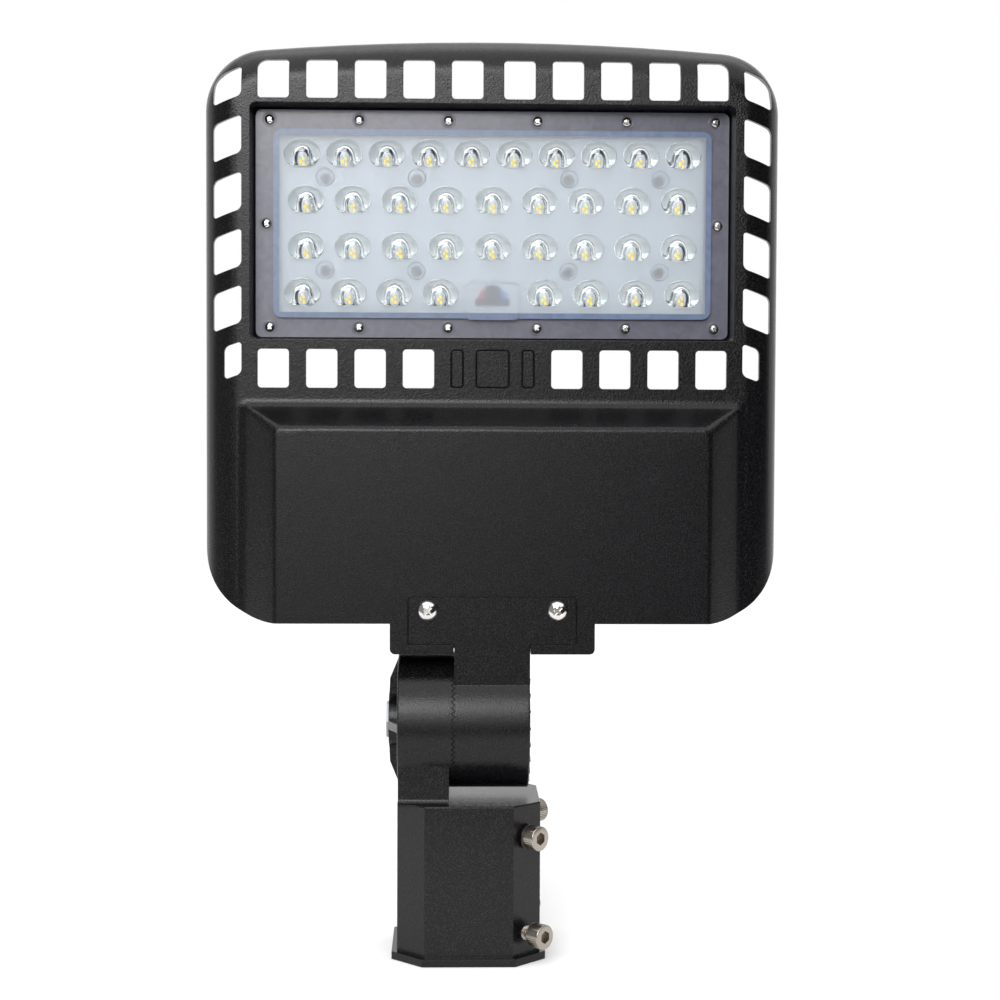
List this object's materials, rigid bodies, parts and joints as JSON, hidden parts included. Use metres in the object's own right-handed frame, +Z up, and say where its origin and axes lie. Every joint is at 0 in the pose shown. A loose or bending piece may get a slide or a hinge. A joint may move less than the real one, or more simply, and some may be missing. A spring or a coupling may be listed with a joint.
{
  "type": "led street light",
  "caption": "LED street light: vented black housing with a dome-lens LED panel and driver bay, on a toothed tilting slip fitter that clamps over a round pole tenon.",
  "frame": {"origin": "centre of the tenon socket's mouth, on the tenon axis", "axes": "+Z up the tenon and the upright head, -Y the way the light shines, +X to the right seen from the front; the tilt axis runs along X"},
  "size_m": [0.308, 0.0897, 0.4894],
  "materials": {
    "powder_coat": "fine-textured black powder coat on die-cast aluminium",
    "clamp_steel": "nickel-plated steel",
    "zinc_steel": "zinc-plated steel",
    "chrome_screw": "bright stainless steel",
    "black_rubber": "matte moulded rubber",
    "grey_silicone": "matte silicone",
    "clear_polycarbonate": "clear moulded polycarbonate, glossy",
    "white_solder_mask": "white solder mask on an aluminium board",
    "thermal_pad_grey": "soft matte pad",
    "led_package_white": "moulded white package",
    "led_phosphor_yellow": "yellow phosphor gel",
    "black_plastic": "moulded nylon",
    "red_silicone_lead": "silicone insulation",
    "blue_silicone_lead": "silicone insulation",
    "driver_case": "plain drawn aluminium case",
    "white_nylon": "moulded nylon",
    "brass_screw": "plain turned brass"
  },
  "bodies": {
    "fitter": {"slip_fitter": "powder_coat", "pivot_bolt": "zinc_steel", "pivot_washer": "zinc_steel", "pivot_lock_washer": "zinc_steel", "pivot_nut": "zinc_steel"},
    "head": {"tilt_bracket": "powder_coat", "bracket_gasket": "black_rubber", "bracket_screws": "chrome_screw", "cable_grommet": "black_rubber", "housing": "powder_coat", "lens_panel": "clear_polycarbonate", "lens_gasket": "grey_silicone", "lens_screws": "chrome_screw", "led_board": "white_solder_mask", "thermal_pad": "thermal_pad_grey", "led_packages": "led_package_white", "led_phosphor": "led_phosphor_yellow", "board_screws": "chrome_screw", "board_connector": "black_plastic", "lead_red": "red_silicone_lead", "lead_blue": "blue_silicone_lead", "led_driver": "driver_case", "driver_screws": "zinc_steel", "supply_terminal": "white_nylon", "earth_screw": "brass_screw", "rear_cover": "powder_coat", "rear_gasket": "black_rubber", "rear_screws": "zinc_steel"},
    "clamp_screw_front_upper_body": {"clamp_screw_front_upper": "clamp_steel"},
    "clamp_screw_front_lower_body": {"clamp_screw_front_lower": "clamp_steel"},
    "clamp_screw_rear_upper_body": {"clamp_screw_rear_upper": "clamp_steel"},
    "clamp_screw_rear_lower_body": {"clamp_screw_rear_lower": "clamp_steel"}
  },
  "joints": [
    {"name": "head_tilt", "type": "hinge", "parent": "fitter", "child": "head", "pos_m": [0, 0, 0.1245], "axis": [1, 0, 0], "range_deg": [-90, 90]},
    {"name": "clamp_screw_front_upper_travel", "type": "slide", "parent": "fitter", "child": "clamp_screw_front_upper_body", "axis": [0.7071, -0.7071, 0], "range_m": [-0.0017, 0.006]},
    {"name": "clamp_screw_front_lower_travel", "type": "slide", "parent": "fitter", "child": "clamp_screw_front_lower_body", "axis": [0.7071, -0.7071, 0], "range_m": [-0.0053, 0.003]},
    {"name": "clamp_screw_rear_upper_travel", "type": "slide", "parent": "fitter", "child": "clamp_screw_rear_upper_body", "axis": [0.7071, 0.7071, 0], "range_m": [-0.0064, 0.002]},
    {"name": "clamp_screw_rear_lower_travel", "type": "slide", "parent": "fitter", "child": "clamp_screw_rear_lower_body", "axis": [0.7071, 0.7071, 0], "range_m": [-0.0004, 0.007]}
  ]
}
